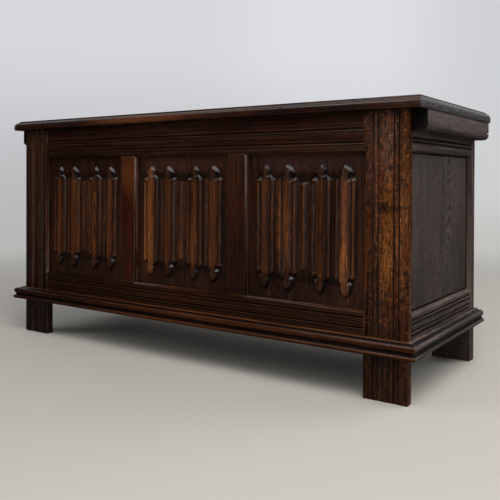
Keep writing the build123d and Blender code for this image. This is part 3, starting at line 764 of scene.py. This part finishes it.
def fingerHeight(across, along, top, length, toRight):
    # One fold's tip, with across positive on the side of its ear: a crowned finger with a neck. At
    # the top of the panel two rounded slopes and a cap end it, and the long slope makes the ear,
    # over a notch; at the foot it ends as a rounded tongue. Under the ear the bead ends in a knob.
    t = tipSettings
    falling = t["tipFall"] * np.clip(along - t["tipFrom"], 0, 60)
    crown = t["height"] - t["roundness"] * across ** 2 - falling
    reached = across - t["earShift"] * smoothMask(across, *t["earWithin"])
    aimAcross, aimAlong = t["longAim"]
    longWay = aimAcross * reached + aimAlong * along - aimAlong * (length - t["longRun"])
    shortWay = t["shortAim"] * (along - across) - t["shortAim"] * (length - t["shortRun"])
    capWay = along - (length - t["capRun"])
    longSlope = crown - t["longFall"] * np.maximum(longWay, 0) ** 2
    shortSlope = crown - t["shortFall"] * np.maximum(shortWay, 0) ** 2
    cap = crown - t["capFall"] * np.maximum(capWay, 0) ** 2
    pointed = softMin(softMin(longSlope, shortSlope, 1.2), cap, 1.2)

    tongueHalf = np.where(across > 0, *t["tongueHalf"])
    tongueAlong = (along - t["tongueFrom"]) / (length - t["tongueRoot"])
    tongueWay = np.hypot(across / tongueHalf, tongueAlong)
    rounded = crown - t["tongueFall"] * np.maximum(tongueWay - t["tongueStart"], 0) ** 2

    swell = np.where(top, hump(along, *t["topSwell"]), hump(along, *t["footSwell"]))
    neck = t["neck"] + swell + hump(along, *t["rootSwell"])
    neckSide = (neck + across) * t["neckFall"]
    topFrom, topFall = t["topNotch"]
    leftFrom, leftFall = t["leftNotch"]
    rightFrom, rightFall, acrossFrom, acrossFall = t["rightNotch"]
    rightNotch = rightFall * (along - rightFrom) - acrossFall * (across - acrossFrom)
    footNotch = np.where(toRight, rightNotch, leftFall * (along - leftFrom))
    notch = np.where(top, (along - topFrom) * topFall, footNotch)
    earSide = np.maximum(notch, (t["notchHalf"] - across) * t["notchSide"])
    sides = np.where(across > 0, earSide, neckSide)
    finger = softMin(np.where(top, pointed, rounded), sides, 1.6)

    knobWay = np.hypot(across - t["knobAcross"], along - np.where(top, *t["knobAlong"]))
    finger = softMax(finger, t["knobHeight"] - t["knobFall"] * knobWay ** 2, 1.0)
    return np.where(along > t["fingerFrom"], np.maximum(finger, 0), 0)


def foldHeight(x, z, seed):
    # height of the carving over the ground at x across and z up, in metres from the panel's middle
    f = foldSettings
    rng = np.random.default_rng(seed)
    topShifts, footShifts = rng.uniform(-f["looseness"], f["looseness"], (2, 4))
    top = z > 0
    driftScale, driftWidth = f["drift"]
    acrossPanel = x * 1000 + valueNoise(z * driftScale, z * 0 + seed, seed) * driftWidth
    side, along = np.abs(acrossPanel), np.abs(z) * 1000
    inner, outer = f["middles"]
    folds = list(zip((-outer, -inner, inner, outer), (-1, 1, -1, 1), topShifts, footShifts))
    late = np.zeros_like(side)
    for middle, _, topShift, footShift in folds:
        late += np.where(top, topShift, footShift) * hump(acrossPanel, middle, f["lateWidth"])
    height = np.maximum(softMin(foldSection(side), bodyEnd(side, along - late, top), 1.4), 0)
    for middle, facing, topShift, footShift in folds:
        length = tipSettings["end"] + np.where(top, topShift, footShift) * f["looserTips"]
        finger = fingerHeight((acrossPanel - middle) * facing, along, top, length, facing > 0)
        height = np.where(finger > 0.05, softMax(height, finger, 0.5), height)
    return np.maximum(height, 0) / 1000


def blurred(values, axis, reach):
    # mean over the neighbours on one axis, by a running sum
    width = 2 * reach + 1
    pad = [(0, 0), (0, 0)]
    pad[axis] = (reach + 1, reach)
    total = np.cumsum(np.pad(values, pad, mode="edge"), axis=axis)
    last = np.take(total, np.arange(width, total.shape[axis]), axis=axis)
    first = np.take(total, np.arange(0, total.shape[axis] - width), axis=axis)
    return (last - first) / width


def panelRows():
    # close rows where the folds end, wide ones along their straight length
    s = panelSettings
    high, start = s["openingHalf"][1], s["closeRowsFrom"]
    close = np.arange(start, high, s["rowStep"])
    between = np.arange(0, start - s["longStep"] / 2, s["longStep"])
    half = np.concatenate([between, close, [high]])
    return np.unique(np.round(np.concatenate([-half, half]), 6))


def carvedFace(gridX, gridZ, height, seed):
    # the carving with its tool marks: deep on the flat ground, shallow on the folds, none at rims
    s = panelSettings

    def marks(name, place):
        wide, high, depth = s[name]
        return valueNoise(gridX * wide, gridZ * high, seed + place) * depth

    onTips = smoothMask(np.abs(gridZ), *s["tipsFrom"])
    toolMarks = marks("longMarks", 3) + marks("broadMarks", 5) + marks("tipMarks", 7) * onTips
    flat = 1 - smoothMask(height, 0.0, 0.0015)
    halfWidth, halfHeight = s["openingHalf"]
    inside = np.minimum(halfWidth - np.abs(gridX), halfHeight - np.abs(gridZ))
    return height + toolMarks * (0.35 + 0.65 * flat) * smoothMask(inside, 0.0, s["plainRim"])


def boardMesh(name, middle, gridX, gridZ, surface):
    # a closed board: the carved face as a grid over x and z, then rings out to the tongue and in to
    # the back
    s = panelSettings
    halfWidth, halfHeight = s["openingHalf"]
    face = np.stack([gridX + middle, s["groundY"] - surface, gridZ + s["middleZ"]], axis=-1)
    rows, columns = gridX.shape
    index = np.arange(rows * columns).reshape(rows, columns)
    quads = np.stack([index[:-1, :-1], index[:-1, 1:], index[1:, 1:], index[1:, :-1]], -1)
    loop = np.concatenate([index[0, :-1], index[:-1, -1], index[-1, :0:-1], index[:0:-1, 0]])
    edgeX, edgeZ = gridX.reshape(-1)[loop], gridZ.reshape(-1)[loop]
    outX = np.where(np.isclose(np.abs(edgeX), halfWidth), np.sign(edgeX), 0)
    outZ = np.where(np.isclose(np.abs(edgeZ), halfHeight), np.sign(edgeZ), 0)
    tongueBack = s["groundY"] + s["tongueDepth"]
    points, sides, previous = [face.reshape(-1, 3)], [], loop
    for number, (grow, y) in enumerate((
        (s["tongueLength"], s["groundY"]), (s["tongueLength"], tongueBack),
        (-s["fieldGap"], tongueBack), (-s["fieldGap"], s["backY"]),
    )):
        ringX, ringZ = edgeX + middle + outX * grow, edgeZ + s["middleZ"] + outZ * grow
        points.append(np.stack([ringX, np.full(len(loop), y), ringZ], -1))
        current = rows * columns + number * len(loop) + np.arange(len(loop))
        following, before = np.roll(current, -1), np.roll(previous, -1)
        sides.append(np.stack([previous, current, following, before], -1))
        previous = current
    faces = quads.reshape(-1, 4).tolist() + np.concatenate(sides).tolist()
    faces.append(previous[::-1].tolist())
    mesh = bpy.data.meshes.new(name)
    mesh.from_pydata(np.concatenate(points).tolist(), [], faces)
    mesh.update()
    return mesh


def rubbedPlaces(gridX, gridZ, height, seed, rubs):
    # ragged patches rubbed through to bare wood, stronger on the raised parts
    acrossAt, upAt = gridX * 1000, (gridZ + panelSettings["middleZ"]) * 1000
    scaleAcross, scaleUp, raggedDepth = grimeAndShadeSettings["ragged"]
    rimAcross, rimUp = grimeAndShadeSettings["rubbedRim"]
    ragged = valueNoise(gridX * scaleAcross, gridZ * scaleUp, seed + 9) * raggedDepth
    raised = 0.4 + 0.6 * smoothMask(height, 0.003, 0.006)
    rubbed = np.zeros_like(height)
    for middle, half, low, high, strength in rubs:
        away = np.abs(acrossAt - middle) + ragged
        wide = 1 - smoothMask(away, half - rimAcross, half + rimAcross)
        risen = smoothMask(upAt + ragged * 5, low - rimUp, low + rimUp)
        tall = risen * (1 - smoothMask(upAt + ragged * 5, high - rimUp, high + rimUp))
        rubbed = np.maximum(rubbed, wide * tall * strength * raised)
    return rubbed


def panelGrimeAndShade(x, gridX, gridZ, height, rubbed):
    # Darker in the hollows, on the flanks and the ground, round the tips and in the scoops between
    # them: dark wax and painted shade in the hollows, painted shade on the flanks, stronger on
    # those facing right, and painted shadow in the scoops under the tips. A hollow lies below the
    # mean of its neighbours; a flank falls steeply across.
    g = grimeAndShadeSettings
    up = np.abs(gridZ)
    sunk = np.maximum(blurred(height, 1, 4) - height, blurred(height, 0, 4) - height) * 1000
    # painted shade on steep flanks, stronger where they face right
    falling = np.gradient(height, x, axis=1)
    flankShade = smoothMask(np.abs(falling), 0.2, 0.6) * np.where(falling < 0, *g["flankShade"])
    flankShade = flankShade * (1 - 0.5 * np.minimum(rubbed, 1))
    dirtAndShade = np.maximum(g["hollow"] * smoothMask(sunk, 0.1, 0.9), flankShade)
    ground = g["ground"] * (1 - smoothMask(height, 0.0002, 0.0012))
    unrubbed = 1 - 0.9 * np.minimum(rubbed * 1.6, 1)
    tips = smoothMask(up, *g["tipsFrom"]) * unrubbed * g["tips"]
    # painted shadow in the scoops under the tips
    between = smoothMask(up, *g["scoopsFrom"]) * (1 - smoothMask(up, *g["scoopsTo"]))
    inField = 1 - smoothMask(np.abs(gridX), *g["fieldEdge"])
    scoops = g["scoops"] * between * inField * (1 - smoothMask(height, 0.004, 0.007))
    return np.clip(dirtAndShade + np.maximum(ground, tips) + scoops, 0, g["most"])


def linenfoldPanel(name, middle, seed, material, rubs):
    # the board, with its wear on crests, ridges and rubbed places and its grime and painted shade
    # held at each point
    halfWidth, _ = panelSettings["openingHalf"]
    x = np.linspace(-halfWidth, halfWidth, panelSettings["columns"])
    gridX, gridZ = np.meshgrid(x, panelRows())
    height = foldHeight(gridX, gridZ, seed)
    mesh = boardMesh(name, middle, gridX, gridZ, carvedFace(gridX, gridZ, height, seed))

    rubbed = rubbedPlaces(gridX, gridZ, height, seed, rubs)
    raised = (height - blurred(height, 1, 6)) * 1000
    wear = grimeAndShadeSettings["crestWear"] * smoothMask(height, 0.006, 0.0088)
    wear = wear + grimeAndShadeSettings["ridgeWear"] * smoothMask(raised, 0.3, 1.2)
    wear = np.maximum(wear, rubbed)
    grime = panelGrimeAndShade(x, gridX, gridZ, height, rubbed)
    spare = np.zeros(len(mesh.vertices) - height.size)
    for label, values in (("wear", wear), ("grime", grime)):
        attribute = mesh.attributes.new(label, "FLOAT", "POINT")
        spread = np.concatenate([values.reshape(-1), spare]).astype(np.float32)
        attribute.data.foreach_set("value", spread)
    mesh.polygons.foreach_set("use_smooth", np.ones(len(mesh.polygons), bool))
    mesh.set_sharp_from_angle(angle=math.radians(panelSettings["shadedSharp"]))
    mesh.materials.append(material)
    piece = bpy.data.objects.new(name, mesh)
    scene.collection.objects.link(piece)
    return piece


carvedLook = dict(
    dark=(32, 14, 8), mid=(56, 30, 17), light=(88, 49, 26), worn=(138, 76, 22), edgeWear=0.95,
    roughness=0.24, coat=0.15, poreDepth=0.8, specks=0.45, streaks=0.7, redness=0.5,
    hazeColour=(96, 80, 82),
)
paintedLightAboveFolds = ((0.0, 0.0, 0.158), (0.2, 0.05, 0.04))     # painted light: the upper strip of the ground made paler against the shade under the top rail
carvedPanels = {  # rubs: mm across from the panel's middle, half width, low and high, strength
    "left": dict(
        middle=-0.368, pith=(0.04, 0.11), haze=0.0, marks=[],
        rubs=[(-30, 9, 250, 470, 0.5), (26, 6, 280, 440, 0.3)],
    ),
    "centre": dict(
        middle=0.0, pith=(-0.01, 0.11), haze=0.05, marks=[(*paintedLightAboveFolds, (94, 57, 40), 0.6)],
        rubs=[(-112, 20, 214, 508, 0.95), (0, 14, 262, 300, 0.6), (44, 12, 262, 380, 0.4),
              (105, 16, 262, 470, 0.35)],
    ),
    "right": dict(
        middle=0.368, pith=(-0.06, 0.11), haze=0.1, marks=[(*paintedLightAboveFolds, (84, 56, 51), 0.6)],
        rubs=[(-69, 8, 300, 460, 0.75), (-44, 6, 300, 440, 0.35), (104, 11, 205, 330, 0.95),
              (104, 7, 330, 410, 0.6), (105, 5, 400, 480, 0.5)],
    ),
}
for number, (side, own) in enumerate(carvedPanels.items()):
    node = "linenfold_panel_" + side
    material = oak(
        "oak." + node, 70 + number, (own["middle"], -0.215, panelSettings["middleZ"]),
        pith=own["pith"], haze=own["haze"], marks=own["marks"], **carvedLook,
    )
    panel = linenfoldPanel(node + ".carved", own["middle"], 5 + number, material, own["rubs"])
    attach(panel, "carcass")
    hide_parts(node)
print("linenfold panels carved")


# Floor and backdrop

stageSettings = {
    "radius": 4.2,
    "cove": 0.9,
    "height": 3.2,
    "around": 96,
    "coveSteps": 16,
    "floor": (166, 162, 154),
    "floorInWax": (44, 42, 40),
    "farFloor": ((182, 182, 180), (193, 192, 188)),     # left and right
    "wallLow": ((187, 186, 189), (207, 207, 208)),
    "wallHigh": ((214, 215, 220), (208, 209, 213)),
    "wallMiddle": (222, 223, 228),
}


def revolved(name, radii, heights):
    # a profile of radius and height carried once round the vertical axis
    around = stageSettings["around"]
    turns = np.linspace(0, 2 * np.pi, around, endpoint=False)
    points = np.stack([
        np.outer(radii, np.cos(turns)), np.outer(radii, np.sin(turns)),
        np.outer(heights, np.ones(around)),
    ], -1).reshape(-1, 3)
    index = np.arange(len(radii) * around).reshape(len(radii), around)
    right = np.roll(index, -1, axis=1)
    faces = np.stack([index[:-1], right[:-1], right[1:], index[1:]], -1).reshape(-1, 4)
    mesh = bpy.data.meshes.new(name)
    mesh.from_pydata(points.tolist(), [], faces.tolist())
    mesh.polygons.foreach_set("use_smooth", np.ones(len(mesh.polygons), bool))
    piece = bpy.data.objects.new(name, mesh)
    scene.collection.objects.link(piece)
    return piece


def sideways(shade, place, first, last):
    # from the left of the view to its right, which run along X on the far wall
    across = shade.axis(place, "X").smooth(-3.0, -0.2)
    return shade.mixColour(across, linear(*first), linear(*last))


def floorMaterial():
    # lit near the chest, passing into the far tone; the wax shows a dimmer floor than the eye does
    s = stageSettings
    material, shade, place = newMaterial("pale.floor")
    glossy = shade.node("ShaderNodeLightPath", output="Is Glossy Ray")
    colour = shade.mixColour(glossy, linear(*s["floor"]), linear(*s["floorInWax"]))
    lit = shade.node("ShaderNodeBsdfPrincipled", None, {"Base Color": colour, "Roughness": 0.7})
    far = shade.node("ShaderNodeEmission", None, {"Color": sideways(shade, place, *s["farFloor"])})
    seen = shade.node("ShaderNodeLightPath", output="Is Camera Ray")
    reach = place.length().smooth(1.3, 3.1) * seen
    shader = shade.node("ShaderNodeMixShader", None, {0: reach, 1: lit, 2: far})
    shade.node("ShaderNodeOutputMaterial", None, {"Surface": shader})
    return material


def backdropMaterial():
    # seen as a pale wall that lightens upwards; light passes through it
    s = stageSettings
    material, shade, place = newMaterial("pale.backdrop")
    height = shade.axis(place, "Z")
    foot, low, high = (
        sideways(shade, place, *s[name]) for name in ("farFloor", "wallLow", "wallHigh")
    )
    middle = shade.axis(place, "X").band(-2.4, -0.9, 0.5)
    high = shade.mixColour(middle, high, linear(*s["wallMiddle"]))
    colour = shade.mixColour(height.smooth(-0.1, 0.42), foot, low)
    colour = shade.mixColour(height.smooth(0.2, 1.7), colour, high)
    shown = shade.node("ShaderNodeEmission", None, {"Color": colour})
    clear = shade.node("ShaderNodeBsdfTransparent")
    seen = shade.node("ShaderNodeLightPath", output="Is Camera Ray")
    shader = shade.node("ShaderNodeMixShader", None, {0: seen, 1: clear, 2: shown})
    shade.node("ShaderNodeOutputMaterial", None, {"Surface": shader})
    return material


s = stageSettings
coveStart = s["radius"] - s["cove"]
turn = np.linspace(0, np.pi / 2, s["coveSteps"])
floor = revolved("floor", np.array([0.001, 1.0, 2.0, coveStart]), np.zeros(4))
floor.data.materials.append(floorMaterial())
wallRadii = np.concatenate([coveStart + s["cove"] * np.sin(turn), [s["radius"]]])
wallHeights = np.concatenate([s["cove"] * (1 - np.cos(turn)), [s["height"]]])
backdrop = revolved("backdrop", wallRadii, wallHeights)
backdrop.data.materials.append(backdropMaterial())


# Light

lights = {  # place, aim, width and height, power, and what it lights: matt surfaces or the shine
    "overhead": dict(
        place=(1.4, -1.15, 2.5), aim=(0, 0, 0.3), size=(2.0, 1.6), power=84, lights="matt",
    ),
    "window": dict(
        place=(0.5, -1.15, 2.5), aim=(0, 0, 0.3), size=(2.6, 1.1), power=56, lights="shine",
    ),
    "left": dict(
        place=(-2.4, -1.9, 1.3), aim=(0, 0, 0.4), size=(1.4, 1.8), power=34, lights="matt",
    ),
    "right": dict(
        place=(2.6, -2.4, 1.2), aim=(0, 0, 0.3), size=(1.4, 1.8), power=14, lights="matt",
    ),
    "back": dict(
        place=(2.4, 2.2, 1.6), aim=(0.3, 0, 0.3), size=(2.2, 1.8), power=64, lights="matt",
    ),
    "strip": dict(
        place=(3.2, -2.0, 0.9), aim=(0.0, -0.2, 0.4), size=(0.4, 1.8), power=9, lights="shine",
    ),
}
for name, lamp in lights.items():
    data = bpy.data.lights.new(name, "AREA")
    data.shape = "RECTANGLE"
    data.size, data.size_y = lamp["size"]
    data.energy = lamp["power"]
    light = bpy.data.objects.new(name, data)
    light.location = lamp["place"]
    light.visible_diffuse = lamp["lights"] == "matt"
    light.visible_glossy = lamp["lights"] == "shine"
    away = Vector(lamp["aim"]) - Vector(lamp["place"])
    light.rotation_euler = away.to_track_quat("-Z", "Y").to_euler()
    scene.collection.objects.link(light)


def studioWorld():
    # soft light from all round; in the shine only the bright wall above and behind shows
    world = bpy.data.worlds.new("studio")
    world.use_nodes = True
    world.node_tree.nodes.clear()
    shade = Shade(world.node_tree)
    toward = shade.node("ShaderNodeTexCoord", output="Generated")
    up, behind = shade.axis(toward, "Z"), shade.axis(toward, "Y")
    glossy = shade.node("ShaderNodeLightPath", output="Is Glossy Ray")
    wall = up.smooth(0.12, 0.45, 0.01, 0.7) * behind.smooth(-0.1, 0.25, 0.02, 1.0)
    shader = shade.node("ShaderNodeBackground", None, {
        "Color": linear(250, 251, 255), "Strength": (1 - glossy) * 0.36 + glossy * wall,
    })
    shade.node("ShaderNodeOutputWorld", None, {"Surface": shader})
    scene.world = world


studioWorld()
scene.view_settings.view_transform = "Standard"


# Camera

cameraSettings = {
    "place": (1.152, -1.5689, 0.4745),
    "yaw": 0.6033,
    "pitch": -0.0094,
    "roll": 0.0038,
    "focalPixels": 679.53,
    "middleRow": 184.72,
    "imageSize": 500,
    "sensorWidth": 36,
}


def makeCamera():
    # the view is level but for a small pitch and roll, turned towards -X by its yaw
    c = cameraSettings
    yaw, pitch, roll = c["yaw"], c["pitch"], c["roll"]
    level = math.cos(pitch)
    ahead = Vector((-math.sin(yaw) * level, math.cos(yaw) * level, math.sin(pitch)))
    right = Vector((math.cos(yaw), math.sin(yaw), 0))
    up = right.cross(ahead)
    turnedRight = right * math.cos(roll) + up * math.sin(roll)
    turnedUp = up * math.cos(roll) - right * math.sin(roll)
    data = bpy.data.cameras.new("camera")
    data.sensor_width = c["sensorWidth"]
    data.lens = c["focalPixels"] * c["sensorWidth"] / c["imageSize"]
    data.shift_y = (c["middleRow"] - c["imageSize"] / 2) / c["imageSize"]
    camera = bpy.data.objects.new("camera", data)
    turnTo = Matrix((turnedRight, turnedUp, -ahead)).transposed().to_4x4()
    camera.matrix_world = Matrix.Translation(c["place"]) @ turnTo
    scene.collection.objects.link(camera)
    scene.camera = camera


makeCamera()
print("stage, light and camera set")
